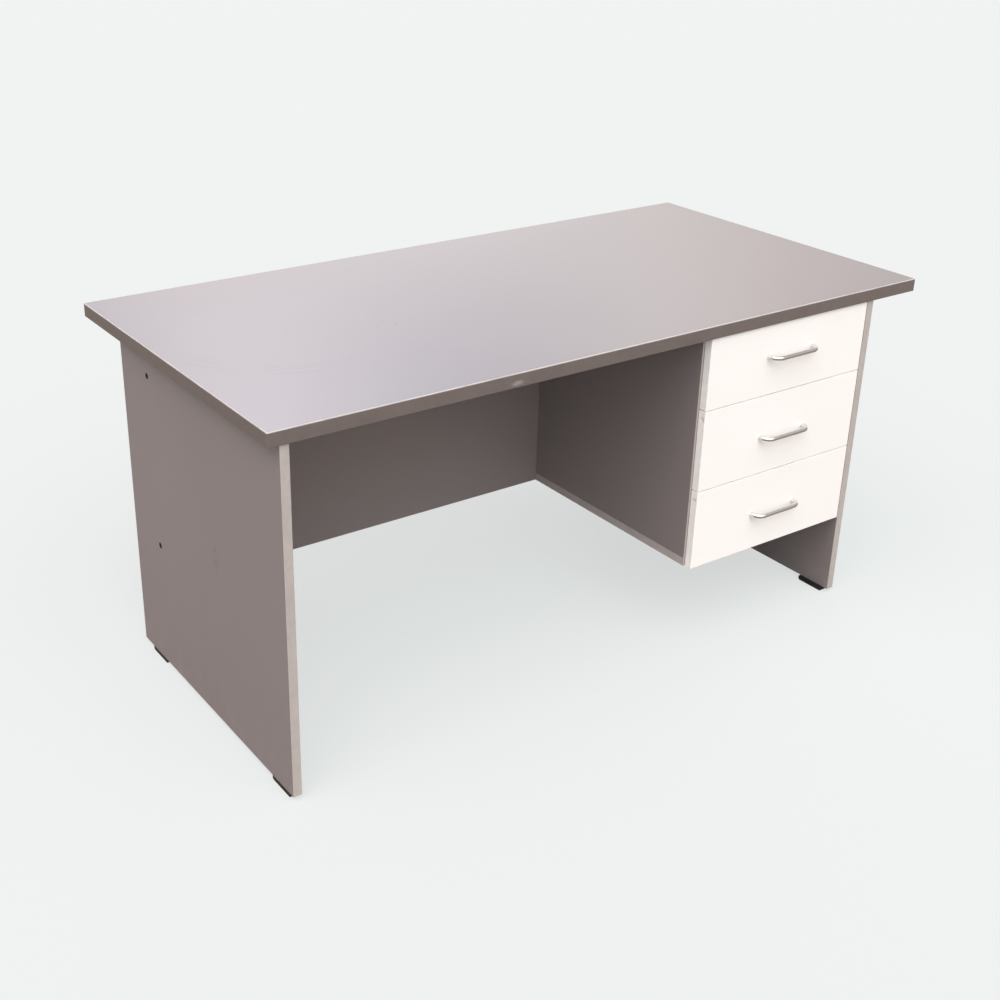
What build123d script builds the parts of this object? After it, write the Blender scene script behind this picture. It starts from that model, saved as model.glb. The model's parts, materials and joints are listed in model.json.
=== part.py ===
from build123d import *
import os
from collections import namedtuple

# Writing desk with three drawers, in millimetres.
# X runs along the desk, -Y is the user's side, Z is up. The origin is on the floor, at the
# middle of the desk's overall width and depth.

# ---- overall ----
DESK_WIDTH = 1600.0
TOP_DEPTH = 800.0
DESK_HEIGHT = 750.0
TOP_THICKNESS = 28.0
BOARD = 18.0
LEFT_OVERHANG = 25.0
RIGHT_OVERHANG = 125.0
TOP_NOSE = 5.0                  # the top's front edge stands this far past the side panels
PANEL_DEPTH = 675.0
MODESTY_SETBACK = 540.0         # from the side panels' front edges to the modesty panel
FIT_GAP = 0.1                   # play round screws, dowels and cams

# ---- edge bands ----
TOP_BAND = 2.0
THIN_BAND = 1.0
TOP_BAND_ROUND = 1.2
THIN_BAND_ROUND = 0.5

# ---- pedestal ----
PEDESTAL_WIDTH = 464.0          # outer face of its side to the right side panel
PEDESTAL_HEIGHT = 521.0
FRONT_PITCH = 182.0
FRONT_GAP = 2.0
FRONT_REVEAL = 4.0              # pedestal side left showing beside the fronts
FRONT_SIDE_GAP = 2.0            # fronts to the right side panel
BUMPER_GAP = 1.5                # closed fronts stand this far off the pedestal
DRAWER_COUNT = 3

# ---- drawer boxes ----
BOX_BOARD = 12.0
BOX_HEIGHT = 110.0
BOX_DEPTH = 455.0
BOX_LIFT = 26.0                 # above the lower edge of the front
BOX_FLOOR = 4.0
FLOOR_LIFT = 10.0
GROOVE_DEPTH = 6.0
GROOVE_PLAY = 0.2

# ---- telescopic slides ----
SLIDE_LENGTH = 450.0
SLIDE_SPACE = 12.7
SLIDE_LIFT = 50.0               # slide's centre above the box's lower edge
SLIDE_SETBACK = 2.0
STEEL = 1.2
# each channel: distance from the cabinet wall to its web and to its lips, and half its height
Channel = namedtuple("Channel", "web lip half_height")
OUTER = Channel(0.0, 8.5, 22.5)
MIDDLE = Channel(3.8, 11.0, 18.2)
INNER = Channel(SLIDE_SPACE, 5.5, 14.2)
# each ball cage: centre and half width across the slide, height of its balls, share of the slide's length
Cage = namedtuple("Cage", "centre half_width height place")
OUTER_CAGE = Cage(5.0, 2.4, 19.75, 0.78)
INNER_CAGE = Cage(8.2, 2.0, 15.6, 0.22)
CAGE_LENGTH = 100.0
CAGE_THICKNESS = 1.0
CAGE_BALLS = 6
BALL_RADIUS = 1.1

# ---- handles ----
HANDLE_CENTRES = 128.0
HANDLE_ROD = 10.0
HANDLE_REACH = 27.0
HANDLE_BEND = 20.0
HANDLE_LIFT = 86.0              # above the lower edge of the front
HANDLE_SHIFT = 4.0              # right of the front's middle
HANDLE_TAPPING = 10.0

# ---- glides under the side panels ----
GLIDE_HEIGHT = 10.0
GLIDE_WIDTH = 25.0
GLIDE_LENGTH = 70.0
GLIDE_ROUND = 5.0
FRONT_GLIDE_SETBACK = 13.0
REAR_GLIDE_SETBACK = 42.0
NAIL_SPACING = 44.0
NAIL_SINK = 4.0
NAIL_POCKET = 4.5

# ---- cam fittings and dowels that hold the top ----
CAM_RADIUS = 7.5
CAM_DEPTH = 12.5
CAM_DROP = 34.0
CAM_SLOT = (1.6, 9.0, 2.5)
CAM_BOLT_SHANK = 3.0
CAM_BOLT_THREAD = 3.5
CAM_BOLT_GRIP = 11.0
DOWEL_RADIUS = 4.0
DOWEL_LENGTH = 32.0
DOWEL_CHAMFER = 0.8
DOWEL_OFFSET = 50.0

# ---- screws: a countersunk head is flush with its start point, a pan head stands on it ----
Screw = namedtuple("Screw", "head_radius head_height shank_radius length countersunk drive")
CONFIRMAT = Screw(6.5, 4.0, 3.0, 50.0, True, "hex")
BOX_CONFIRMAT = Screw(3.5, 2.8, 2.0, 40.0, True, "hex")
WOOD_SCREW = Screw(4.0, 2.6, 2.0, 24.0, True, "cross")
SLIDE_SCREW = Screw(3.5, 1.8, 1.75, 11.0, False, "cross")
HANDLE_SCREW = Screw(4.0, 2.4, 2.0, 38.0, False, "cross")
NAIL = Screw(3.5, 1.2, 1.25, 22.0, False, "none")
RECESS_DEPTH = 0.7              # drive recess, as shares of the head's height and radius
HEX_RADIUS = 0.42
CROSS_LENGTH = 1.1
CROSS_WIDTH = 0.25

# ---- places worked out from the sizes above ----
LEFT, RIGHT = -DESK_WIDTH / 2, DESK_WIDTH / 2
TOP_FRONT = -(TOP_DEPTH - (HANDLE_REACH - TOP_NOSE)) / 2
TOP_BACK = TOP_FRONT + TOP_DEPTH
TOP_UNDERSIDE = DESK_HEIGHT - TOP_THICKNESS
PANEL_FRONT = TOP_FRONT + TOP_NOSE
PANEL_BACK = PANEL_FRONT + PANEL_DEPTH
LEFT_PANEL_X = (LEFT + LEFT_OVERHANG, LEFT + LEFT_OVERHANG + BOARD)
RIGHT_PANEL_X = (RIGHT - RIGHT_OVERHANG - BOARD, RIGHT - RIGHT_OVERHANG)
MODESTY_Y = (PANEL_FRONT + MODESTY_SETBACK, PANEL_FRONT + MODESTY_SETBACK + BOARD)
PEDESTAL_BASE = TOP_UNDERSIDE - PEDESTAL_HEIGHT
PEDESTAL_FRONT = PANEL_FRONT + BOARD + BUMPER_GAP
PEDESTAL_SIDE_X = (RIGHT_PANEL_X[0] - PEDESTAL_WIDTH, RIGHT_PANEL_X[0] - PEDESTAL_WIDTH + BOARD)
BOTTOM_BOARD_TOP = PEDESTAL_BASE + BOARD
FRONT_X = (PEDESTAL_SIDE_X[0] + FRONT_REVEAL, RIGHT_PANEL_X[0] - FRONT_SIDE_GAP)
FRONT_Y = (PANEL_FRONT, PANEL_FRONT + BOARD)
BOX_X = (PEDESTAL_SIDE_X[1] + SLIDE_SPACE, RIGHT_PANEL_X[0] - SLIDE_SPACE)
BOX_Y = (FRONT_Y[1], FRONT_Y[1] + BOX_DEPTH)
SLIDE_Y = (PEDESTAL_FRONT + SLIDE_SETBACK, PEDESTAL_FRONT + SLIDE_SETBACK + SLIDE_LENGTH)
# each slide's cabinet wall, and the way from that wall to the drawer
SLIDE_WALLS = ((PEDESTAL_SIDE_X[1], 1), (RIGHT_PANEL_X[0], -1))


def middle(span):
    return (span[0] + span[1]) / 2


def block(x, y, z):
    """Box that fills a (low, high) span on each axis."""
    size = [high - low for low, high in (x, y, z)]
    return Pos(middle(x), middle(y), middle(z)) * Box(*size)


def rod(radius, length):
    """Round bar standing on the origin."""
    return Cylinder(radius, length, align=(Align.CENTER, Align.CENTER, Align.MIN))


def placed(shape, start, direction):
    """The shape moved to start, with its +Z turned to direction."""
    return Plane(origin=start, z_dir=direction).location * shape


def screw_body(screw, play=0.0):
    """Head and shank of a screw driven along +Z, grown by play for use as its hole."""
    shank = rod(screw.shank_radius + play, screw.length + play)
    if screw.countersunk:
        head = Cone(screw.head_radius + play, screw.shank_radius + play, screw.head_height,
                    align=(Align.CENTER, Align.CENTER, Align.MIN))
        return head + shank
    return Pos(0, 0, -screw.head_height) * rod(screw.head_radius + play, screw.head_height) + shank


def drive_recess(screw):
    """Socket in the head: a hexagon, or a cross of two slots."""
    depth = screw.head_height * RECESS_DEPTH
    top = 0.0 if screw.countersunk else -screw.head_height
    if screw.drive == "hex":
        socket = extrude(RegularPolygon(screw.head_radius * HEX_RADIUS, 6), depth)
    else:
        slot = (screw.head_radius * CROSS_LENGTH, screw.head_radius * CROSS_WIDTH, depth)
        low = (Align.CENTER, Align.CENTER, Align.MIN)
        socket = Box(*slot, align=low) + Rot(0, 0, 90) * Box(*slot, align=low)
    return Pos(0, 0, top) * socket


def make_screw(screw):
    body = screw_body(screw)
    return body if screw.drive == "none" else body - drive_recess(screw)


def screws_at(screw, places):
    """One solid for each (start, direction)."""
    pattern = make_screw(screw)
    return [placed(pattern, start, direction) for start, direction in places]


def holes_at(screw, places):
    pattern = screw_body(screw, FIT_GAP)
    return [placed(pattern, start, direction) for start, direction in places]


def boxes_meet(a, b):
    return all(low_a <= high_b and low_b <= high_a for low_a, high_a, low_b, high_b in
               zip(a.min, a.max, b.min, b.max))


def drilled(shape, holes):
    """The shape less every hole that reaches it."""
    bounds = shape.bounding_box()
    for hole in holes:
        if boxes_meet(bounds, hole.bounding_box()):
            shape = shape - hole
    return shape


def save(name, *shapes):
    """Writes one sub-part, made of one or more separate solids."""
    solids = [solid for shape in shapes for solid in shape.solids()]
    body = solids[0] if len(solids) == 1 else Compound(children=solids)
    export_step(body, f"parts/{name}.step")


# ---- fastener places ----
CONFIRMAT_HEIGHTS = (293.0, 665.0)      # up the ends of the modesty panel
PEDESTAL_HEIGHTS = (300.0, 620.0)       # up the rear edge of the pedestal side
BOTTOM_DEPTHS = (90.0, 450.0)           # back from the pedestal's front edge
BOTTOM_REAR_X = (320.0, 560.0)
CAM_DEPTHS = (90.0, 590.0)              # back from the side panels' front edges
PEDESTAL_CAM_DEPTHS = (80.0, 420.0)     # back from the pedestal's front edge
MODESTY_CAM_X = (-560.0, -60.0, 430.0)
SLIDE_SCREW_SHARES = (0.1, 0.5, 0.9)    # along the slide
BOX_SCREW_HEIGHTS = (24.0, 94.0)        # above the box's lower edge
FRONT_SCREW_INSET = 60.0                # from the box's sides


def confirmat_places():
    """Screws through the side panels, the modesty panel and the bottom board."""
    modesty_mid, side_mid = middle(MODESTY_Y), middle(PEDESTAL_SIDE_X)
    bottom_mid = PEDESTAL_BASE + BOARD / 2
    places = []
    for z in CONFIRMAT_HEIGHTS:
        places.append(((LEFT_PANEL_X[0], modesty_mid, z), (1, 0, 0)))
        places.append(((RIGHT_PANEL_X[1], modesty_mid, z), (-1, 0, 0)))
    for z in PEDESTAL_HEIGHTS:
        places.append(((side_mid, MODESTY_Y[1], z), (0, -1, 0)))
    for depth in BOTTOM_DEPTHS:
        places.append(((RIGHT_PANEL_X[1], PEDESTAL_FRONT + depth, bottom_mid), (-1, 0, 0)))
        places.append(((side_mid, PEDESTAL_FRONT + depth, PEDESTAL_BASE), (0, 0, 1)))
    for x in BOTTOM_REAR_X:
        places.append(((x, MODESTY_Y[1], bottom_mid), (0, -1, 0)))
    return places


def cam_places():
    """Point where each cam's axis enters its board, the way in, and the line its dowel is moved along."""
    z = TOP_UNDERSIDE - CAM_DROP
    places = []
    for depth in CAM_DEPTHS:
        places.append(((LEFT_PANEL_X[1], PANEL_FRONT + depth, z), (-1, 0, 0), (0, 1, 0)))
        places.append(((RIGHT_PANEL_X[0], PANEL_FRONT + depth, z), (1, 0, 0), (0, 1, 0)))
    for depth in PEDESTAL_CAM_DEPTHS:
        places.append(((PEDESTAL_SIDE_X[1], PEDESTAL_FRONT + depth, z), (-1, 0, 0), (0, 1, 0)))
    for x in MODESTY_CAM_X:
        places.append(((x, MODESTY_Y[1], z), (0, -1, 0), (1, 0, 0)))
    return places


def cam_bolt(play=0.0):
    """Bolt from the middle of a cam up into the top, standing on the origin."""
    shank = rod(CAM_BOLT_SHANK + play, CAM_DROP)
    thread = Pos(0, 0, CAM_DROP) * rod(CAM_BOLT_THREAD + play, CAM_BOLT_GRIP + play)
    return shank + thread


def cam_fittings():
    """Cam housings, their bolts, the dowels beside them, and the holes for all three."""
    housings, bolts, dowels, holes = [], [], [], []
    for face, way_in, along in cam_places():
        mid = tuple(f + w * BOARD / 2 for f, w in zip(face, way_in))
        bolt_hole = Pos(*mid) * cam_bolt(FIT_GAP)
        housing = rod(CAM_RADIUS, CAM_DEPTH)
        for turn in (0, 90):
            housing -= Rot(0, 0, turn) * Pos(0, 0, CAM_SLOT[2] / 2) * Box(*CAM_SLOT)
        housings.append(placed(housing, face, way_in) - bolt_hole)
        bolts.append(Pos(*mid) * cam_bolt())
        foot = [m + a * DOWEL_OFFSET for m, a in zip(mid, along)]
        foot[2] = TOP_UNDERSIDE - DOWEL_LENGTH / 2
        dowels.append(Pos(*foot) * chamfer(rod(DOWEL_RADIUS, DOWEL_LENGTH).edges(), DOWEL_CHAMFER))
        foot[2] -= FIT_GAP
        holes.append(placed(rod(CAM_RADIUS + FIT_GAP, CAM_DEPTH + FIT_GAP), face, way_in))
        holes.append(bolt_hole)
        holes.append(Pos(*foot) * rod(DOWEL_RADIUS + FIT_GAP, DOWEL_LENGTH + 2 * FIT_GAP))
    return housings, bolts, dowels, holes


def slide_screw_places(channel, way_to_wood):
    """Screws through the web of one kind of slide member, for one drawer at height zero."""
    places = []
    for wall, inward in SLIDE_WALLS:
        web_face = channel.web - way_to_wood * STEEL
        for share in SLIDE_SCREW_SHARES:
            start = (wall + inward * web_face, SLIDE_Y[0] + share * SLIDE_LENGTH, 0.0)
            places.append((start, (inward * way_to_wood, 0, 0)))
    return places


def raised(places, z):
    return [((x, y, start_z + z), direction) for (x, y, start_z), direction in places]


def front_base(number):
    """Lower edge of a drawer's front: drawer 1 is the top one."""
    return PEDESTAL_BASE + (DRAWER_COUNT - number) * FRONT_PITCH


def slide_height(number):
    return front_base(number) + BOX_LIFT + SLIDE_LIFT


# ---- top and panels ----
def banded_ring(x, y, z, band, corner, edge_round, across):
    """Edge band round a board: a rounded frame, open along the across axis."""
    shape = block(x, y, z)
    shape = fillet(shape.edges().filter_by(across), corner)
    faces = shape.faces().sort_by(across)
    rims = faces[0].edges() + faces[-1].edges()
    return fillet(rims, edge_round) - banded_core(x, y, z, band, across)


def banded_core(x, y, z, band, across):
    """The board inside a band, flush with it along the across axis."""
    def shrink(span, axis):
        return span if axis == across else (span[0] + band, span[1] - band)
    return block(shrink(x, Axis.X), shrink(y, Axis.Y), shrink(z, Axis.Z))


def make_top(holes):
    spans = ((LEFT, RIGHT), (TOP_FRONT, TOP_BACK), (TOP_UNDERSIDE, DESK_HEIGHT))
    save("desk_top", drilled(banded_core(*spans, TOP_BAND, Axis.Z), holes))
    save("desk_top_edge_band", banded_ring(*spans, TOP_BAND, TOP_BAND, TOP_BAND_ROUND, Axis.Z))


def rounded_strip(x, y, z, outer_face):
    """Thin band whose two long edges on the outer face are rounded."""
    strip = block(x, y, z)
    edges = outer_face(strip).edges().filter_by(Axis.Z)
    return fillet(edges, THIN_BAND_ROUND)


def make_side_panel(name, x, holes):
    z = (GLIDE_HEIGHT, TOP_UNDERSIDE)
    core = block(x, (PANEL_FRONT + THIN_BAND, PANEL_BACK - THIN_BAND), z)
    save(f"{name}_side_panel", drilled(core, holes))
    front = rounded_strip(x, (PANEL_FRONT, PANEL_FRONT + THIN_BAND), z,
                          lambda strip: strip.faces().sort_by(Axis.Y)[0])
    back = rounded_strip(x, (PANEL_BACK - THIN_BAND, PANEL_BACK), z,
                         lambda strip: strip.faces().sort_by(Axis.Y)[-1])
    save(f"{name}_side_edge_band", front, back)


def make_modesty_panel(holes):
    x = (LEFT_PANEL_X[1], RIGHT_PANEL_X[0])
    save("modesty_panel", drilled(block(x, MODESTY_Y, (PEDESTAL_BASE, TOP_UNDERSIDE)), holes))


def make_pedestal(holes):
    front, back = PEDESTAL_FRONT, MODESTY_Y[0]
    side_z = (BOTTOM_BOARD_TOP, TOP_UNDERSIDE)
    side = block(PEDESTAL_SIDE_X, (front + THIN_BAND, back), side_z)
    save("pedestal_side_panel", drilled(side, holes))
    bottom_x, bottom_z = (PEDESTAL_SIDE_X[0], RIGHT_PANEL_X[0]), (PEDESTAL_BASE, BOTTOM_BOARD_TOP)
    bottom = block((bottom_x[0] + THIN_BAND, bottom_x[1]), (front + THIN_BAND, back), bottom_z)
    save("pedestal_bottom_board", drilled(bottom, holes))
    side_band = block(PEDESTAL_SIDE_X, (front, front + THIN_BAND), side_z)
    bottom_band = block(bottom_x, (front, back), bottom_z) - bottom
    save("pedestal_edge_bands", side_band, bottom_band)


# ---- glides ----
def make_glides():
    """Plastic blocks nailed under the ends of both side panels, flush with their outer faces."""
    nails, nail_holes = [], []
    front_y = PANEL_FRONT + FRONT_GLIDE_SETBACK
    rear_y = PANEL_BACK - REAR_GLIDE_SETBACK - GLIDE_LENGTH
    left_x = (LEFT_PANEL_X[0], LEFT_PANEL_X[0] + GLIDE_WIDTH)
    right_x = (RIGHT_PANEL_X[1] - GLIDE_WIDTH, RIGHT_PANEL_X[1])
    for side, x, panel_x in (("left", left_x, LEFT_PANEL_X), ("right", right_x, RIGHT_PANEL_X)):
        for end, y in (("front", front_y), ("rear", rear_y)):
            glide = block(x, (y, y + GLIDE_LENGTH), (0.0, GLIDE_HEIGHT))
            glide = fillet(glide.faces().sort_by(Axis.Z)[0].edges().filter_by(Axis.X), GLIDE_ROUND)
            glide = fillet(glide.edges().filter_by(Axis.Z), THIN_BAND_ROUND)
            middle_y = y + GLIDE_LENGTH / 2
            starts = [(middle(panel_x), middle_y + shift, NAIL_SINK)
                      for shift in (-NAIL_SPACING / 2, NAIL_SPACING / 2)]
            places = [(start, (0, 0, 1)) for start in starts]
            for start_x, start_y, sink in starts:
                glide -= Pos(start_x, start_y, 0) * rod(NAIL_POCKET, sink)
            holes = holes_at(NAIL, places)
            save(f"glide_{end}_{side}", drilled(glide, holes))
            nails += screws_at(NAIL, places)
            nail_holes += holes
    save("glide_nails", *nails)
    return nail_holes


# ---- slides ----
def slide_channel(wall, inward, channel, z, holes=()):
    """One C-shaped member, its web at channel.web and its lips reaching to channel.lip."""
    turn = inward if channel.lip > channel.web else -inward
    web_x = sorted((wall + inward * channel.web, wall + inward * channel.web + turn * STEEL))
    lip_x = sorted((wall + inward * channel.web, wall + inward * channel.lip))
    shape = block(web_x, SLIDE_Y, (z - channel.half_height, z + channel.half_height))
    for low in (z - channel.half_height, z + channel.half_height - STEEL):
        shape += block(lip_x, SLIDE_Y, (low, low + STEEL))
    return drilled(shape, holes)


def ball_cage(wall, inward, cage, z, side):
    """Plastic strip with a row of steel balls, above (side 1) or below (side -1) the slide's middle."""
    x = wall + inward * cage.centre
    y = SLIDE_Y[0] + cage.place * SLIDE_LENGTH
    level = z + side * cage.height
    strip = block((x - cage.half_width, x + cage.half_width),
                  (y - CAGE_LENGTH / 2, y + CAGE_LENGTH / 2),
                  (level - CAGE_THICKNESS / 2, level + CAGE_THICKNESS / 2))
    pitch = CAGE_LENGTH / CAGE_BALLS
    for ball in range(CAGE_BALLS):
        strip += Pos(x, y - CAGE_LENGTH / 2 + (ball + 0.5) * pitch, level) * Sphere(BALL_RADIUS)
    return strip


def make_cabinet_slides(outer_holes):
    for number in range(1, DRAWER_COUNT + 1):
        z = slide_height(number)
        outers = [slide_channel(wall, inward, OUTER, z, outer_holes) for wall, inward in SLIDE_WALLS]
        save(f"drawer_{number}_slide_outers", *outers)


def make_slide_middles(number):
    z = slide_height(number)
    shapes = []
    for wall, inward in SLIDE_WALLS:
        shapes.append(slide_channel(wall, inward, MIDDLE, z))
        for cage in (OUTER_CAGE, INNER_CAGE):
            for side in (-1, 1):
                shapes.append(ball_cage(wall, inward, cage, z, side))
    save(f"drawer_{number}_slide_middles", *shapes)


# ---- drawers ----
def box_screw_places(base):
    """Screws through the box's sides into its front and back, one pair at each corner."""
    places = []
    for x, way in ((BOX_X[0], 1), (BOX_X[1], -1)):
        for y in (BOX_Y[0] + BOX_BOARD / 2, BOX_Y[1] - BOX_BOARD / 2):
            for lift in BOX_SCREW_HEIGHTS:
                places.append(((x, y, base + lift), (way, 0, 0)))
    return places


def front_screw_places(base):
    """Screws from inside the box's front into the drawer front."""
    y = BOX_Y[0] + BOX_BOARD
    return [((x, y, base + lift), (0, -1, 0))
            for x in (BOX_X[0] + FRONT_SCREW_INSET, BOX_X[1] - FRONT_SCREW_INSET)
            for lift in BOX_SCREW_HEIGHTS]


def make_box(number, base, holes):
    """Drawer box: sides over front and back, and a thin floor held in a groove all round."""
    z = (base, base + BOX_HEIGHT)
    inner_x = (BOX_X[0] + BOX_BOARD, BOX_X[1] - BOX_BOARD)
    inner_y = (BOX_Y[0] + BOX_BOARD, BOX_Y[1] - BOX_BOARD)
    floor_x = (inner_x[0] - GROOVE_DEPTH, inner_x[1] + GROOVE_DEPTH)
    floor_y = (inner_y[0] - GROOVE_DEPTH, inner_y[1] + GROOVE_DEPTH)
    floor_z = (base + FLOOR_LIFT, base + FLOOR_LIFT + BOX_FLOOR)
    groove_z = (floor_z[0] - GROOVE_PLAY, floor_z[1] + GROOVE_PLAY)
    groove = block((floor_x[0] - GROOVE_PLAY, floor_x[1] + GROOVE_PLAY),
                   (floor_y[0] - GROOVE_PLAY, floor_y[1] + GROOVE_PLAY), groove_z)
    boards = {
        "box_left": block((BOX_X[0], inner_x[0]), BOX_Y, z),
        "box_right": block((inner_x[1], BOX_X[1]), BOX_Y, z),
        "box_front": block(inner_x, (BOX_Y[0], inner_y[0]), z),
        "box_back": block(inner_x, (inner_y[1], BOX_Y[1]), z),
    }
    for board_name, board in boards.items():
        save(f"drawer_{number}_{board_name}", drilled(board - groove, holes))
    save(f"drawer_{number}_box_floor", block(floor_x, floor_y, floor_z))


def make_handle(x, z):
    """Round bar bent into a bow, with a tapped hole in the end of each leg."""
    face, axis_y = FRONT_Y[0], FRONT_Y[0] - HANDLE_REACH + HANDLE_ROD / 2
    half = HANDLE_CENTRES / 2
    corners = [(x - half, face, z), (x - half, axis_y, z), (x + half, axis_y, z), (x + half, face, z)]
    path = FilletPolyline(*corners, radius=HANDLE_BEND)
    bar = sweep(Plane(origin=path @ 0, z_dir=path % 0) * Circle(HANDLE_ROD / 2), path=path)
    for leg in (x - half, x + half):
        tapping = rod(HANDLE_SCREW.shank_radius + FIT_GAP, HANDLE_TAPPING)
        bar -= placed(tapping, (leg, face, z), (0, -1, 0))
    return bar


def make_drawer(number):
    base = front_base(number)
    box_base = base + BOX_LIFT
    front_top = base + FRONT_PITCH - FRONT_GAP if number > 1 else TOP_UNDERSIDE - FRONT_GAP
    handle_x, handle_z = middle(FRONT_X) + HANDLE_SHIFT, base + HANDLE_LIFT
    handle_places = [((handle_x + side * HANDLE_CENTRES / 2, BOX_Y[0] + BOX_BOARD, handle_z), (0, -1, 0))
                     for side in (-1, 1)]
    inner_places = raised(slide_screw_places(INNER, 1), slide_height(number))
    fixings = ((BOX_CONFIRMAT, box_screw_places(box_base)),
               (WOOD_SCREW, front_screw_places(box_base)),
               (SLIDE_SCREW, inner_places))
    holes = [hole for screw, places in fixings for hole in holes_at(screw, places)]
    holes += holes_at(HANDLE_SCREW, handle_places)

    spans = (FRONT_X, FRONT_Y, (base, front_top))
    save(f"drawer_{number}_front", drilled(banded_core(*spans, THIN_BAND, Axis.Y), holes))
    save(f"drawer_{number}_front_edge_band",
         banded_ring(*spans, THIN_BAND, THIN_BAND, THIN_BAND_ROUND, Axis.Y))
    make_box(number, box_base, holes)
    save(f"drawer_{number}_handle", make_handle(handle_x, handle_z))
    save(f"drawer_{number}_handle_screws", *screws_at(HANDLE_SCREW, handle_places))
    save(f"drawer_{number}_box_screws",
         *[solid for screw, places in fixings for solid in screws_at(screw, places)])
    inners = [slide_channel(wall, inward, INNER, slide_height(number), holes)
              for wall, inward in SLIDE_WALLS]
    save(f"drawer_{number}_slide_inners", *inners)
    make_slide_middles(number)


def main():
    os.makedirs("parts", exist_ok=True)
    confirmats = confirmat_places()
    outer_places = [place for number in range(1, DRAWER_COUNT + 1)
                    for place in raised(slide_screw_places(OUTER, -1), slide_height(number))]
    housings, bolts, dowels, cam_holes = cam_fittings()
    outer_holes = holes_at(SLIDE_SCREW, outer_places)
    holes = holes_at(CONFIRMAT, confirmats) + cam_holes + outer_holes + make_glides()

    make_top(holes)
    make_side_panel("left", LEFT_PANEL_X, holes)
    make_side_panel("right", RIGHT_PANEL_X, holes)
    make_modesty_panel(holes)
    make_pedestal(holes)
    save("carcass_screws", *screws_at(CONFIRMAT, confirmats))
    save("cam_housings", *housings)
    save("cam_bolts", *bolts)
    save("top_dowels", *dowels)
    make_cabinet_slides(outer_holes)
    save("cabinet_slide_screws", *screws_at(SLIDE_SCREW, outer_places))
    for number in range(1, DRAWER_COUNT + 1):
        make_drawer(number)


if __name__ == "__main__":
    main()
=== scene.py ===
import json
import math
from collections import namedtuple

import bmesh
import bpy
from mathutils import Matrix, Vector, noise


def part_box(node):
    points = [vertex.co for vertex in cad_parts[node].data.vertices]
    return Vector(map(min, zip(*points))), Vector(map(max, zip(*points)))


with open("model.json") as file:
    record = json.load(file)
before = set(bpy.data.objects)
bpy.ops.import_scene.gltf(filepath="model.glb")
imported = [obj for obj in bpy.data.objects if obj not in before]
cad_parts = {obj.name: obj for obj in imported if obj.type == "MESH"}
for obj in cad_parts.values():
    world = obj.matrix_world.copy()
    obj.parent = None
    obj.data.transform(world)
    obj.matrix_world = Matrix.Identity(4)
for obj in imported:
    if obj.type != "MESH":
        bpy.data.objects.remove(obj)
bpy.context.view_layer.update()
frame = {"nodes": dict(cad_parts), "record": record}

# Looks for the writing desk: its materials, a few small marks of use, a painted highlight, the studio and
# the camera.
# Lengths are in metres, in the imported model's frame: X along the desk, -Y towards the user, Z up.

X, Y, Z = 0, 1, 2

# ---- colours, linear ----
TOP_GREY = (0.234, 0.212, 0.224)
PANEL_GREY = (0.230, 0.196, 0.188)
TOP_EDGE_GREY = (0.140, 0.112, 0.100)
PANEL_EDGE_GREY = (0.426, 0.376, 0.345)
FRONT_WHITE = (0.862, 0.822, 0.778)
EDGE_WHITE = (0.925, 0.878, 0.822)
BOX_WHITE = (0.800, 0.785, 0.750)
FLAKE_DARK = (0.440, 0.310, 0.180)
FLAKE_LIGHT = (0.780, 0.640, 0.450)
FIBRE_BROWN = (0.250, 0.150, 0.080)
BEECH = (0.560, 0.360, 0.190)
CHROME = (0.760, 0.740, 0.715)
ZINC = (0.600, 0.610, 0.620)
CAST_ZINC = (0.420, 0.425, 0.430)
# Also the colour of the highlight painted along the top edging's upper edge.
SCUFF_AND_HIGHLIGHT_GREY = (0.520, 0.480, 0.460)
BLACK_OXIDE = (0.010, 0.010, 0.010)
BARE_STEEL = (0.120, 0.115, 0.110)
GLIDE_BLACK = (0.012, 0.012, 0.012)
DUST = (0.330, 0.300, 0.270)

# ---- roughness of clean surfaces ----
TOP_ROUGHNESS = 0.2
PANEL_ROUGHNESS = 0.34
FRONT_ROUGHNESS = 0.3
BOX_ROUGHNESS = 0.4
RAW_ROUGHNESS = 0.9

# ---- marks of use, and a painted highlight ----
DUST_SHARE = 0.35                            # where dust lies thickest
DUSTY_HEIGHT = 0.10                          # of the side panels
SMEAR = Vector((0.0, 0.278, 0.375))          # from the low corner of the left panel's outer face
HIGHLIGHT_FROM, HIGHLIGHT_TO = 0.0026, 0.0008      # below the top's face: the band where a pale highlight is painted along the edging's upper edge
SCUFF_ALONG, SCUFF_BELOW = 0.508, 0.019      # from the upper left corner of the edging's front
WIPED_ALONG, WIPED_ACROSS = 0.258, 0.437     # middle of the wiped arcs, from the top's front left corner
WIPED_RADII = (0.195, 0.212, 0.236)


# ---- shader nodes ----
def feed(tree, socket, value):
    """Links a socket to another node's output, or sets its value."""
    if isinstance(value, bpy.types.NodeSocket):
        tree.links.new(value, socket)
    elif isinstance(value, tuple) and socket.type == "RGBA":
        socket.default_value = (*value, 1.0)
    else:
        socket.default_value = value


def add_node(tree, kind, inputs=None, **settings):
    made = tree.nodes.new(kind)
    for setting, value in settings.items():
        setattr(made, setting, value)
    for socket, value in (inputs or {}).items():
        feed(tree, made.inputs[socket], value)
    return made


def mix_colours(tree, share, first, second):
    return add_node(tree, "ShaderNodeMix", {0: share, 6: first, 7: second}, data_type="RGBA").outputs[2]


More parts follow.
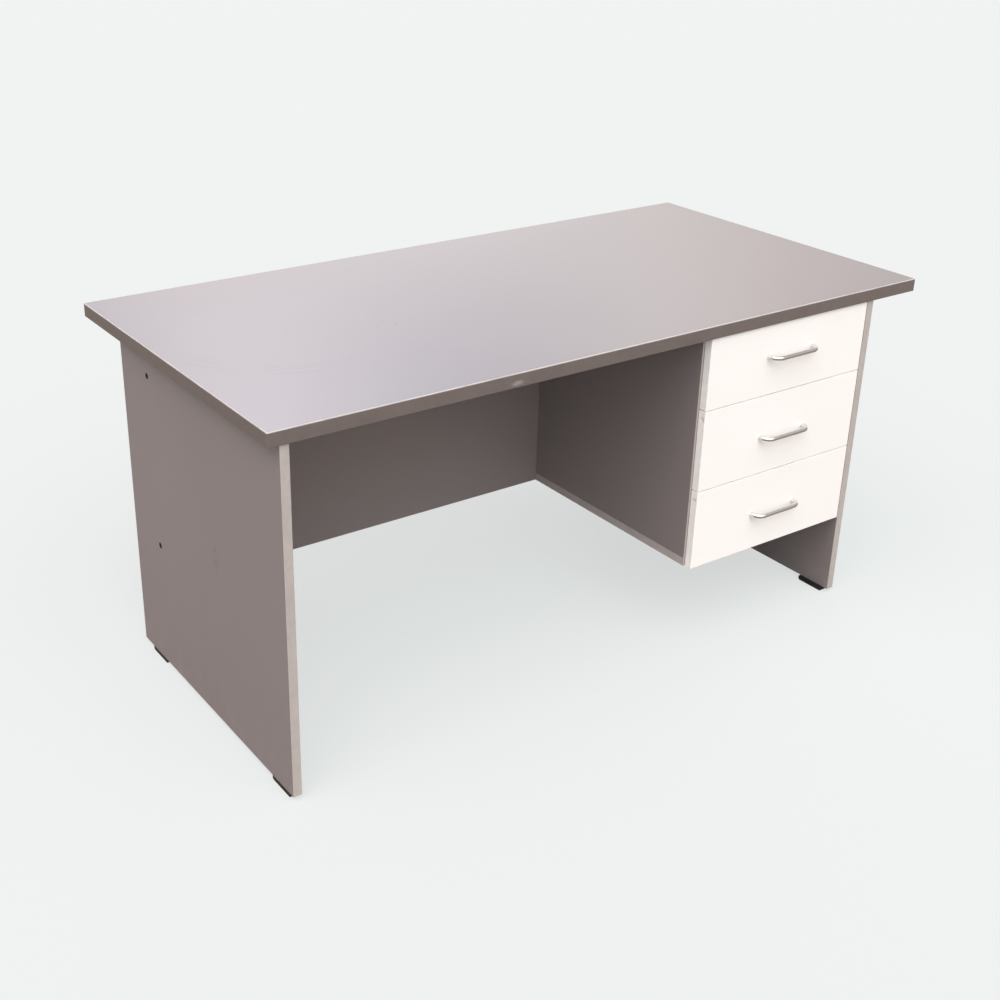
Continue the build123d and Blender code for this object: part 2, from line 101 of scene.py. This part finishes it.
class Surface:
    """A procedural material on a Principled shader. Each method adds one step and returns its socket.
    Textures lie in object coordinates, so a scale is about the number of features in a metre."""

    def __init__(self, name, **constants):
        self.material = bpy.data.materials.new(name)
        self.material.use_nodes = True
        self.tree = self.material.node_tree
        self.shader = self.tree.nodes["Principled BSDF"]
        for socket, value in constants.items():
            self.shader.inputs[socket.replace("_", " ")].default_value = value
        places = self.node("ShaderNodeTexCoord").outputs
        self.place = places["Object"]
        self.axes = self.node("ShaderNodeSeparateXYZ", {0: self.place}).outputs
        self.facing = self.node("ShaderNodeSeparateXYZ", {0: places["Normal"]}).outputs
        self.relief = None

    def node(self, kind, inputs=None, **settings):
        return add_node(self.tree, kind, inputs, **settings)

    def math(self, operation, first, second=0.0):
        return self.node("ShaderNodeMath", {0: first, 1: second}, operation=operation).outputs[0]

    def times(self, *values):
        product = values[0]
        for value in values[1:]:
            product = self.math("MULTIPLY", product, value)
        return product

    def vector_math(self, operation, first, second=(0, 0, 0)):
        return self.node("ShaderNodeVectorMath", {0: first, 1: second}, operation=operation)

    def moved(self, stretch=(1, 1, 1), shift=(0, 0, 0), turn=(0, 0, 0)):
        inputs = {"Vector": self.place, "Scale": stretch, "Location": shift, "Rotation": turn}
        return self.node("ShaderNodeMapping", inputs).outputs[0]

    def noise(self, scale, detail=2.0, distortion=0.0, **mapping):
        place = self.moved(**mapping) if mapping else self.place
        inputs = {"Vector": place, "Scale": scale, "Detail": detail, "Distortion": distortion}
        return self.node("ShaderNodeTexNoise", inputs).outputs["Fac"]

    def cells(self, scale, **mapping):
        place = self.moved(**mapping) if mapping else self.place
        return self.node("ShaderNodeTexVoronoi", {"Vector": place, "Scale": scale}).outputs["Color"]

    def spread(self, value, low, high, start=0.0, end=1.0):
        """A value from low to high turned smoothly into one from start to end, and held outside."""
        inputs = {"Value": value, "From Min": low, "From Max": high, "To Min": start, "To Max": end}
        return self.node("ShaderNodeMapRange", inputs, interpolation_type="SMOOTHSTEP").outputs[0]

    def near(self, centre, reach, soft, stretch=(1, 1, 1)):
        """1 within reach of a point, 0 beyond reach + soft. A stretch over 1 shortens the spot that way."""
        away = self.vector_math("SUBTRACT", self.place, centre)
        away = self.vector_math("MULTIPLY", away.outputs[0], stretch)
        away = self.vector_math("LENGTH", away.outputs[0]).outputs["Value"]
        return self.spread(away, reach, reach + soft, 1.0, 0.0)

    def fade(self, share, first, second):
        """From one number to another."""
        return self.node("ShaderNodeMix", {0: share, 2: first, 3: second}).outputs[0]

    def mix(self, share, first, second):
        """From one colour to another."""
        return mix_colours(self.tree, share, first, second)

    def scaled(self, colour, factor):
        return self.node("ShaderNodeVectorMath", {0: colour, "Scale": factor}, operation="SCALE").outputs[0]

    def bump(self, height, distance, strength):
        inputs = {"Height": height, "Distance": distance, "Strength": strength}
        if self.relief is not None:
            inputs["Normal"] = self.relief
        self.relief = self.node("ShaderNodeBump", inputs).outputs[0]

    def finish(self, colour, roughness):
        feed(self.tree, self.shader.inputs["Base Color"], colour)
        feed(self.tree, self.shader.inputs["Roughness"], roughness)
        if self.relief is not None:
            feed(self.tree, self.shader.inputs["Normal"], self.relief)
        return self.material


# ---- boards ----
def chipboard(surface):
    """Colour and height of raw chipboard: pressed flakes of mixed sizes."""
    flakes = surface.cells(420.0, stretch=(1.0, 1.0, 1.9))
    fine = surface.noise(1500.0, detail=3.0)
    share = surface.times(surface.math("ADD", flakes, fine), 0.5)
    return surface.mix(share, FLAKE_DARK, FLAKE_LIGHT), share


def broken_chipboard(name):
    """Chipboard where it's knocked, crushed to a paler colour than at a sawn edge."""
    surface = Surface(name)
    flakes, height = chipboard(surface)
    surface.bump(height, 0.0005, 0.8)
    return surface.finish(surface.mix(0.5, flakes, EDGE_WHITE), RAW_ROUGHNESS)


def raw_edge(surface, thin):
    """1 on the faces that the melamine sheet doesn't cover: all but those across the thin axis."""
    return surface.spread(surface.math("ABSOLUTE", surface.facing[thin]), 0.4, 0.7, 1.0, 0.0)


def melamine(surface, colour, thin, roughness, clouds=0.015, marks=1.0):
    """Melamine-faced board: a fine printed grain and orange peel, faint clouds, wiped marks and scratches.
    Returns its colour and roughness, with raw chipboard on the faces that the sheet doesn't cover."""
    cloud = surface.noise(3.1, detail=4.0, shift=(3.7, 1.9, 0.4))
    print_grain = surface.noise(950.0)
    specks = surface.spread(surface.noise(2300.0, detail=0.0), 0.66, 0.74)
    wiped = surface.noise(9.0, detail=5.0, distortion=1.2, stretch=(1.0, 1.7, 1.3), turn=(0.3, 0.2, 0.6))
    scratch = surface.noise(19.0, distortion=0.25, stretch=(1.0, 14.0, 9.0), turn=(0.5, 0.1, 0.7))
    scratch = surface.spread(scratch, 0.735, 0.760)
    tone = surface.times(surface.spread(cloud, 0.25, 0.75, 1.0 - clouds, 1.0 + clouds),
                         surface.spread(print_grain, 0.2, 0.8, 0.985, 1.015),
                         surface.spread(wiped, 0.3, 0.75, 1.0 - 0.006 * marks, 1.0 + 0.009 * marks),
                         surface.spread(specks, 0.0, 1.0, 1.0, 0.95),
                         surface.spread(scratch, 0.0, 1.0, 1.0, 1.0 + 0.03 * marks))
    face = surface.scaled(colour, tone)
    rough = surface.spread(wiped, 0.3, 0.75, roughness - 0.012 * marks, roughness + 0.022 * marks)
    flakes, flake_height = chipboard(surface)
    raw = raw_edge(surface, thin)
    surface.bump(print_grain, 0.00001, 0.2)
    surface.bump(surface.times(flake_height, raw), 0.0006, 0.8)
    return surface.mix(raw, face, flakes), surface.fade(raw, rough, RAW_ROUGHNESS)


def board(name, colour, thin, roughness, **wear):
    surface = Surface(name, IOR=1.5)
    return surface.finish(*melamine(surface, colour, thin, roughness, **wear))


def side_board(name, colour, roughness, foot, smear):
    """A side panel: as any board, with dust above its foot and a faint smear at one place."""
    surface = Surface(name, IOR=1.5)
    face, rough = melamine(surface, colour, X, roughness)
    smeared = surface.times(surface.near(smear, 0.004, 0.022, stretch=(1.0, 1.9, 0.55)),
                            surface.spread(surface.noise(140.0, detail=3.0), 0.4, 0.6))
    face = surface.scaled(face, surface.spread(smeared, 0.0, 1.0, 1.0, 0.80))
    low = surface.spread(surface.axes[Z], foot, foot + DUSTY_HEIGHT, 1.0, 0.0)
    patches = surface.spread(surface.noise(38.0, detail=5.0), 0.45, 0.8)
    dusty = surface.times(low, patches, DUST_SHARE)
    return surface.finish(surface.mix(dusty, face, DUST), rough)


def wiped_arcs(surface, away):
    """1 on broken lines at three distances from the middle of the wiped place, 0 elsewhere."""
    arcs = 0.0
    for radius in WIPED_RADII:
        off = surface.math("ABSOLUTE", surface.math("SUBTRACT", away, radius))
        arcs = surface.math("ADD", surface.spread(off, 0.001, 0.006, 1.0, 0.0), arcs)
    return surface.times(arcs, surface.spread(surface.noise(11.0, detail=3.0), 0.42, 0.6))


def top_board(name, colour, roughness, wiped):
    """The desk top: a glossier sheet with the faint arcs that a wiping cloth leaves round one place."""
    surface = Surface(name, IOR=1.62, Coat_Weight=0.25, Coat_Roughness=0.12)
    face, rough = melamine(surface, colour, Z, roughness, clouds=0.008, marks=0.5)
    wobble = surface.spread(surface.noise(5.0), 0.0, 1.0, -0.02, 0.02)
    away = surface.vector_math("DISTANCE", surface.place, wiped).outputs["Value"]
    away = surface.math("ADD", away, wobble)
    nearer_half = surface.spread(surface.axes[Y], wiped.y - 0.10, wiped.y - 0.02, 1.0, 0.0)
    arcs = surface.times(wiped_arcs(surface, away), nearer_half)
    inside = surface.spread(away, WIPED_RADII[0] - 0.005, WIPED_RADII[0] + 0.010, 1.0, 0.0)
    face = surface.scaled(face, surface.spread(arcs, 0.0, 1.0, 1.0, 0.955))
    face = surface.scaled(face, surface.spread(inside, 0.0, 1.0, 1.0, 1.012))
    return surface.finish(face, surface.math("ADD", rough, surface.times(arcs, 0.03)))


def hardboard(name):
    """Thin fibre board: white above and brown fibres below and in its edges."""
    surface = Surface(name)
    up = surface.spread(surface.facing[Z], 0.3, 0.7)
    fibres = surface.noise(600.0, detail=4.0, distortion=0.6, stretch=(1.0, 0.35, 1.0))
    brown = surface.scaled(FIBRE_BROWN, surface.spread(fibres, 0.2, 0.8, 0.75, 1.25))
    clouds = surface.spread(surface.noise(6.0, detail=4.0), 0.3, 0.7, 0.97, 1.02)
    white = surface.scaled(BOX_WHITE, clouds)
    surface.bump(surface.noise(260.0), 0.0001, 0.3)
    return surface.finish(surface.mix(up, brown, white), surface.spread(up, 0.0, 1.0, 0.8, 0.45))


# ---- edgings ----
def edge_band(surface, colour, roughness):
    """Colour and roughness of plastic edging: a fine moulded grain, with streaks and grime."""
    grain = surface.noise(1200.0)
    streaks = surface.noise(14.0, detail=4.0)
    grime = surface.noise(60.0, detail=5.0, distortion=0.4)
    tone = surface.times(surface.spread(streaks, 0.3, 0.7, 0.965, 1.035),
                         surface.spread(grime, 0.35, 0.8, 1.03, 0.94),
                         surface.spread(grain, 0.2, 0.8, 0.985, 1.015))
    surface.bump(grain, 0.00004, 0.4)
    rough = surface.spread(streaks, 0.3, 0.7, roughness - 0.04, roughness + 0.05)
    return surface.scaled(colour, tone), rough


def edging(name, colour, roughness):
    surface = Surface(name, IOR=1.48)
    return surface.finish(*edge_band(surface, colour, roughness))


def top_edging(name, colour, roughness, top_height, scuff):
    """The desk top's edging, with a painted highlight along its upper edge and scuffed at one place."""
    surface = Surface(name, IOR=1.48)
    face, rough = edge_band(surface, colour, roughness)
    # Painted highlight: a pale band along the edging's upper edge, standing in for the light its rounded
    # edge catches. The mask named rubbed here is that highlight, not wear.
    highlight_band = surface.spread(surface.axes[Z], top_height - HIGHLIGHT_FROM, top_height - HIGHLIGHT_TO)
    rubbed = surface.times(highlight_band, surface.spread(surface.noise(30.0, detail=4.0), 0.2, 0.6, 0.6, 0.95))
    face = surface.mix(rubbed, face, SCUFF_AND_HIGHLIGHT_GREY)
    grazed = surface.times(surface.near(scuff, 0.003, 0.007, stretch=(0.55, 1.0, 1.5)),
                           surface.spread(surface.noise(420.0, detail=3.0), 0.35, 0.55, 0.1, 0.45))
    return surface.finish(surface.mix(grazed, face, SCUFF_AND_HIGHLIGHT_GREY), rough)


# ---- metals, plastics and wood ----
def chrome(name):
    """Polished plating with finger marks and the faintest ripple from polishing."""
    surface = Surface(name, Metallic=1.0)
    marks = surface.spread(surface.noise(120.0, detail=4.0, distortion=0.5), 0.45, 0.75)
    tone = surface.spread(marks, 0.0, 1.0, 1.0, 0.95)
    surface.bump(surface.noise(90.0, detail=1.0), 0.00004, 0.3)
    return surface.finish(surface.scaled(CHROME, tone), surface.spread(marks, 0.0, 1.0, 0.05, 0.16))


def plated_steel(name, colour, roughness, draw=(1, 1, 1)):
    """Metal with a crystalline mottle. A draw under 1 lengthens its streaks that way."""
    surface = Surface(name, Metallic=1.0)
    rolled = surface.noise(420.0, detail=4.0, stretch=draw)
    mottle = surface.cells(160.0)
    tone = surface.times(surface.spread(rolled, 0.25, 0.75, 0.88, 1.08),
                         surface.spread(mottle, 0.0, 1.0, 0.95, 1.04))
    surface.bump(rolled, 0.00003, 0.5)
    rough = surface.spread(rolled, 0.25, 0.75, roughness - 0.08, roughness + 0.1)
    return surface.finish(surface.scaled(colour, tone), rough)


def black_oxide(name):
    """Blackened steel, with a little bare metal where it's rubbed."""
    surface = Surface(name, IOR=1.38)
    specks = surface.noise(1900.0, detail=3.0)
    rubbed = surface.spread(surface.noise(700.0, detail=3.0), 0.6, 0.75)
    face = surface.mix(surface.times(rubbed, 0.2), BLACK_OXIDE, BARE_STEEL)
    surface.bump(specks, 0.00003, 0.5)
    return surface.finish(face, surface.spread(specks, 0.2, 0.8, 0.45, 0.65))


def moulded_black(name):
    """Moulded plastic with a spark-eroded grain and dust caught near the floor."""
    surface = Surface(name, IOR=1.47)
    grain = surface.noise(1400.0)
    low = surface.spread(surface.axes[Z], 0.0, 0.006, 1.0, 0.0)
    patches = surface.spread(surface.noise(180.0, detail=4.0), 0.4, 0.75)
    dusty = surface.times(low, patches, DUST_SHARE)
    surface.bump(grain, 0.00008, 0.6)
    return surface.finish(surface.mix(dusty, GLIDE_BLACK, DUST), surface.spread(grain, 0.2, 0.8, 0.36, 0.52))


def wood(name, colour):
    """Wood with its grain along Z, as the dowels stand."""
    surface = Surface(name)
    grain = surface.noise(900.0, detail=4.0, distortion=0.8, stretch=(1.0, 1.0, 0.06))
    tone = surface.spread(grain, 0.25, 0.75, 0.78, 1.15)
    surface.bump(grain, 0.00008, 0.5)
    return surface.finish(surface.scaled(colour, tone), 0.6)


# ---- which node gets which material ----
def slot_materials():
    """One material for each record slot, apart from the boards, which depend on how they stand."""
    top_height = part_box("desk_top")[1].z
    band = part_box("desk_top_edge_band")[0]
    scuff = (band.x + SCUFF_ALONG, band.y, top_height - SCUFF_BELOW)
    return {
        "top_edge": top_edging("top_edge_pvc", TOP_EDGE_GREY, 0.36, top_height, scuff),
        "grey_edge": edging("grey_edge_pvc", PANEL_EDGE_GREY, 0.38),
        "white_edge": edging("white_edge_pvc", EDGE_WHITE, 0.34),
        "box_hardboard": hardboard("white_hardboard"),
        "handle_chrome": chrome("handle_chrome"),
        "slide_steel": plated_steel("slide_steel", ZINC, 0.34, draw=(1.0, 0.04, 1.0)),
        "black_screw": black_oxide("black_oxide"),
        "zinc_screw": plated_steel("zinc_screw", ZINC, 0.3),
        "cam_zinc": plated_steel("cast_zinc", CAST_ZINC, 0.45),
        "beech": wood("beech", BEECH),
        "glide_black": moulded_black("glide_black"),
    }


def board_materials():
    """The boards' materials by node: each has its melamine on the two faces across its thin axis."""
    left_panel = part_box("left_side_panel")[0]
    side = side_board("grey_side_board", PANEL_GREY, PANEL_ROUGHNESS, left_panel.z, left_panel + SMEAR)
    low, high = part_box("desk_top")
    wiped = Vector((low.x + WIPED_ALONG, low.y + WIPED_ACROSS, high.z))
    made = {
        "desk_top": top_board("grey_top_board", TOP_GREY, TOP_ROUGHNESS, wiped),
        "left_side_panel": side,
        "right_side_panel": side,
        "pedestal_side_panel": board("grey_pedestal_board", PANEL_GREY, X, PANEL_ROUGHNESS),
        "modesty_panel": board("grey_modesty_board", PANEL_GREY, Y, PANEL_ROUGHNESS),
        "pedestal_bottom_board": board("grey_bottom_board", PANEL_GREY, Z, PANEL_ROUGHNESS),
    }
    front = board("white_front_board", FRONT_WHITE, Y, FRONT_ROUGHNESS, clouds=0.008, marks=0.5)
    across = board("white_box_board_across", BOX_WHITE, Y, BOX_ROUGHNESS, clouds=0.012)
    along = board("white_box_board_along", BOX_WHITE, X, BOX_ROUGHNESS, clouds=0.012)
    for number in (1, 2, 3):
        made[f"drawer_{number}_front"] = front
        made[f"drawer_{number}_box_front"] = across
        made[f"drawer_{number}_box_back"] = across
        made[f"drawer_{number}_box_left"] = along
        made[f"drawer_{number}_box_right"] = along
    return made


def dress_nodes():
    by_slot, by_node = slot_materials(), board_materials()
    for part in frame["record"]["subparts"]:
        name = part["node"]
        material = by_node.get(name) or by_slot[part["material_slot"]]
        mesh = frame["nodes"][name].data
        mesh.materials.clear()
        mesh.materials.append(material)


# ---- chipped edges ----
Chip = namedtuple("Chip", "number above_base seed")
CHIPS = (Chip(2, 0.161, 4.0), Chip(3, 0.160, 9.0))      # by the drawer's number
CHIP_SIZE = Vector((0.0034, 0.0095, 0.0115))
CHIP_DEPTH_SHARE = 0.42                                 # of the front's thickness, from its face
LUMP_UNEVENNESS = 0.55
LUMP_BUMPINESS = 3.1
WELD_REACH = 1e-6
CRISP_ANGLE = math.radians(30)


def irregular_lump(name, centre, size, seed):
    """A ball drawn out to a size, with its surface bulged and dented by noise."""
    shape = bmesh.new()
    bmesh.ops.create_icosphere(shape, subdivisions=3, radius=0.5)
    for vertex in shape.verts:
        bulge = 1.0 + LUMP_UNEVENNESS * noise.noise(vertex.co * LUMP_BUMPINESS + Vector((seed, 0.0, 0.0)))
        vertex.co = centre + bulge * vertex.co * size
    mesh = bpy.data.meshes.new(name)
    shape.to_mesh(mesh)
    shape.free()
    lump = bpy.data.objects.new(name, mesh)
    bpy.context.scene.collection.objects.link(lump)
    return lump


def cut_out(piece, lump):
    """Takes a lump's shape out of a piece. The new faces get the lump's material."""
    piece.modifiers.new("weld", "WELD").merge_threshold = WELD_REACH
    cut = piece.modifiers.new("chip", "BOOLEAN")
    cut.operation = "DIFFERENCE"
    cut.solver = "EXACT"
    cut.material_mode = "TRANSFER"
    cut.object = lump
    piece.modifiers.new("crisp_edges", "EDGE_SPLIT").split_angle = CRISP_ANGLE


def chip_edges():
    """Knocks chips out of the left edges of drawer fronts, through the edge band into the board."""
    chipped = broken_chipboard("broken_chipboard")
    for number, above_base, seed in CHIPS:
        low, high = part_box(f"drawer_{number}_front_edge_band")
        centre = Vector((low.x, low.y + CHIP_DEPTH_SHARE * (high.y - low.y), low.z + above_base))
        lump = irregular_lump(f"drawer_{number}_chip_cutter", centre, CHIP_SIZE, seed)
        lump.data.materials.append(chipped)
        lump.parent = frame["nodes"][f"drawer_{number}_front"]
        lump.hide_render = True
        lump.hide_viewport = True
        for node in (f"drawer_{number}_front_edge_band", f"drawer_{number}_front"):
            cut_out(frame["nodes"][node], lump)


# ---- studio ----
BACKDROP = (0.871, 0.896, 0.888)
DOME = (0.22, 0.22, 0.22)
FLOOR_ALBEDO = (0.38, 0.37, 0.36)            # as the floor lights the desk
FLOOR_MIRRORED = (0.24, 0.21, 0.18)          # as glossy surfaces reflect it
FLOOR_SEEN = (0.1654, 0.1740, 0.1683)        # as the camera sees it, under its glow
FLOOR_GLOW = 0.7                             # share of the backdrop's colour that the camera sees unshaded
FLOOR_SIZE = 60.0
FLOOR_DROP = 0.0005
# Soft lights in the dome: where each stands, how narrow it is (a power of the cosine) and its colour.
# Those named sky are the bands that the desk top reflects.
Lobe = namedtuple("Lobe", "name azimuth elevation sharpness colour")
LOBES = (
    Lobe("key", -10.0, 50.0, 8.0, (3.70, 4.05, 4.35)),
    Lobe("high_left", -75.0, 60.0, 16.0, (5.00, 4.10, 3.90)),
    Lobe("left", -75.0, 22.0, 4.0, (0.90, 1.00, 1.10)),
    Lobe("front", 0.0, 25.0, 4.0, (0.55, 0.42, 0.32)),
    Lobe("right", 80.0, 25.0, 4.0, (0.35, 0.35, 0.35)),
    Lobe("back", 146.0, 6.0, 8.0, (0.30, 0.30, 0.30)),
    Lobe("sky_warm", 134.0, 21.5, 50.0, (0.65, 0.48, 0.27)),
    Lobe("sky_cool", 154.0, 30.0, 20.0, (0.00, 0.22, 0.65)),
    Lobe("sky_gap_right", 136.0, 20.0, 430.0, (0.36, 0.39, 0.36)),
    Lobe("sky_low", 145.0, 10.5, 115.0, (0.60, 0.57, 0.46)),
    Lobe("sky_bright", 154.5, 27.5, 150.0, (2.35, 2.07, 1.82)),
    Lobe("sky_left", 157.5, 11.0, 49.0, (0.90, 0.67, 0.38)),
)


def outward(azimuth, elevation):
    """Unit vector away from the desk: azimuth 0 is towards the user's side, and -90 past the left end."""
    a, e = math.radians(azimuth), math.radians(elevation)
    return Vector((math.sin(a) * math.cos(e), -math.cos(a) * math.cos(e), math.sin(e)))


def floor_material():
    """A matt floor with one colour for each kind of ray, and a glow that only the camera sees."""
    material = bpy.data.materials.new("pale_floor")
    material.use_nodes = True
    tree = material.node_tree
    tree.nodes.clear()
    rays = add_node(tree, "ShaderNodeLightPath").outputs
    seen, mirrored = rays["Is Camera Ray"], rays["Is Glossy Ray"]
    paint = mix_colours(tree, seen, mix_colours(tree, mirrored, FLOOR_ALBEDO, FLOOR_MIRRORED), FLOOR_SEEN)
    diffuse = add_node(tree, "ShaderNodeBsdfDiffuse", {"Color": paint}).outputs[0]
    strength = add_node(tree, "ShaderNodeMath", {0: seen, 1: FLOOR_GLOW}, operation="MULTIPLY").outputs[0]
    glow = add_node(tree, "ShaderNodeEmission", {"Color": BACKDROP, "Strength": strength}).outputs[0]
    both = add_node(tree, "ShaderNodeAddShader", {0: diffuse, 1: glow}).outputs[0]
    add_node(tree, "ShaderNodeOutputMaterial", {"Surface": both})
    return material


def make_floor():
    half = FLOOR_SIZE / 2
    corners = [(x, y, -FLOOR_DROP) for x, y in ((-half, -half), (half, -half), (half, half), (-half, half))]
    mesh = bpy.data.meshes.new("floor")
    mesh.from_pydata(corners, [], [(0, 1, 2, 3)])
    mesh.materials.append(floor_material())
    floor = bpy.data.objects.new("floor", mesh)
    bpy.context.scene.collection.objects.link(floor)


def lobe_light(tree, direction, lobe):
    """A lobe's light along a direction: its colour times a power of the cosine to its axis."""
    axis = outward(lobe.azimuth, lobe.elevation)
    cosine = add_node(tree, "ShaderNodeVectorMath", {0: direction, 1: axis}, operation="DOT_PRODUCT")
    held = add_node(tree, "ShaderNodeMath", {0: cosine.outputs["Value"], 1: 0.0}, operation="MAXIMUM")
    share = add_node(tree, "ShaderNodeMath", {0: held.outputs[0], 1: lobe.sharpness}, operation="POWER")
    inputs = {0: lobe.colour, "Scale": share.outputs[0]}
    return add_node(tree, "ShaderNodeVectorMath", inputs, operation="SCALE").outputs[0]


def make_studio_light():
    """A dome of soft light. The camera sees the backdrop's colour instead of it."""
    world = bpy.data.worlds.new("studio")
    bpy.context.scene.world = world
    world.use_nodes = True
    tree = world.node_tree
    tree.nodes.clear()
    direction = add_node(tree, "ShaderNodeTexCoord").outputs["Generated"]
    total = DOME
    for lobe in LOBES:
        inputs = {0: lobe_light(tree, direction, lobe), 1: total}
        total = add_node(tree, "ShaderNodeVectorMath", inputs, operation="ADD").outputs[0]
    seen = add_node(tree, "ShaderNodeLightPath").outputs["Is Camera Ray"]
    dome = add_node(tree, "ShaderNodeBackground", {"Color": total}).outputs[0]
    backdrop = add_node(tree, "ShaderNodeBackground", {"Color": BACKDROP}).outputs[0]
    shown = add_node(tree, "ShaderNodeMixShader", {0: seen, 1: dome, 2: backdrop}).outputs[0]
    add_node(tree, "ShaderNodeOutputWorld", {"Surface": shown})


# ---- camera: angles in degrees ----
CAMERA_AZIMUTH = -34.366
CAMERA_ELEVATION = 24.767
CAMERA_ROLL = 0.696
CAMERA_DISTANCE = 2.9896
CAMERA_TARGET = Vector((-0.2153, -0.0377, 0.400))
SENSOR_MM = 36.0
LENS_MM = 50.767
SHIFT = (0.0582, -0.0287)


def make_camera():
    data = bpy.data.cameras.new("camera")
    data.sensor_width = SENSOR_MM
    data.lens = LENS_MM
    data.shift_x, data.shift_y = SHIFT
    camera = bpy.data.objects.new("camera", data)
    back = outward(CAMERA_AZIMUTH, CAMERA_ELEVATION)
    level = Vector((0.0, 0.0, 1.0)).cross(back).normalized()
    right = Matrix.Rotation(math.radians(CAMERA_ROLL), 3, back) @ level
    up = back.cross(right)
    turn = Matrix((right, up, back)).transposed()
    camera.matrix_world = Matrix.Translation(CAMERA_TARGET + back * CAMERA_DISTANCE) @ turn.to_4x4()
    bpy.context.scene.collection.objects.link(camera)
    bpy.context.scene.camera = camera


dress_nodes()
chip_edges()
make_floor()
make_studio_light()
make_camera()
bpy.context.scene.view_settings.view_transform = "Standard"
